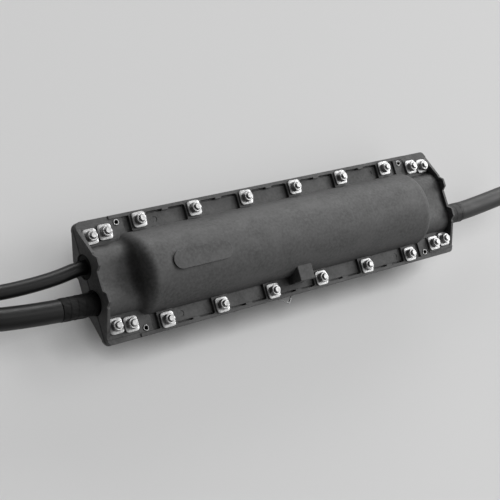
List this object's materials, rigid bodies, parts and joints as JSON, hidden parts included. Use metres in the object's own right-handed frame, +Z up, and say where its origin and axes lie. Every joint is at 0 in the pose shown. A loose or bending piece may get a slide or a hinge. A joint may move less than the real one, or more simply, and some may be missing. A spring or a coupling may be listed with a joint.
{
  "type": "pressure-tight splice closure",
  "caption": "Long clamshell cable splice closure: two domed half shells bolted along a flange, sealed cable ports at both ends, branch splice inside.",
  "frame": {"origin": "centre of the hanging hole pattern on the parting plane of the two half shells", "axes": "+X along the length towards the end with one cable, +Z up out of the upper half shell"},
  "size_m": [0.9777, 0.1663, 0.1056],
  "materials": {
    "shell_plastic": "satin charcoal moulding",
    "zinc_steel": "bright zinc plate",
    "seal_rubber": "soft black",
    "cable_sheath": "satin black sheath",
    "tape": "wrinkled black tape",
    "wire_insulation": "wrapped pairs",
    "module_base_plastic": "cream",
    "module_cap_plastic": "clear white",
    "tie_plastic": "natural nylon",
    "bond_brass": "bright",
    "bond_strap_metal": "tinned strap"
  },
  "bodies": {
    "base": {"lower_shell": "shell_plastic", "flange_bolts": "zinc_steel", "lower_washers": "zinc_steel", "lower_hole_liners": "zinc_steel", "flange_gaskets": "seal_rubber", "left_main_seal": "seal_rubber", "left_branch_seal": "seal_rubber", "right_main_seal": "seal_rubber", "port_plug": "seal_rubber", "left_main_cable": "cable_sheath", "left_branch_cable": "cable_sheath", "right_main_cable": "cable_sheath", "left_main_sheath_end": "cable_sheath", "left_branch_sheath_end": "cable_sheath", "right_main_sheath_end": "cable_sheath", "left_tape_wrap": "tape", "right_tape_wrap": "tape", "main_core": "wire_insulation", "branch_core": "wire_insulation", "wire_groups": "wire_insulation", "splice_module_bases": "module_base_plastic", "splice_module_caps": "module_cap_plastic", "bundle_ties": "tie_plastic", "left_main_bond_shoe": "bond_brass", "left_branch_bond_shoe": "bond_brass", "right_main_bond_shoe": "bond_brass", "bond_nuts": "bond_brass", "bond_strap": "bond_strap_metal"},
    "cover": {"upper_shell": "shell_plastic", "upper_washers": "zinc_steel", "flange_nuts": "zinc_steel", "upper_hole_liners": "zinc_steel"},
    "bail": {"wire_bail": "zinc_steel"}
  },
  "joints": [
    {"name": "cover_lift", "type": "slide", "parent": "base", "child": "cover", "axis": [0, 0, 1], "range_m": [0, 0.16]},
    {"name": "bail_swing", "type": "hinge", "parent": "base", "child": "bail", "pos_m": [-0.015, -0.067, -0.0084], "axis": [1, 0, 0], "range_deg": [0, 140]}
  ]
}
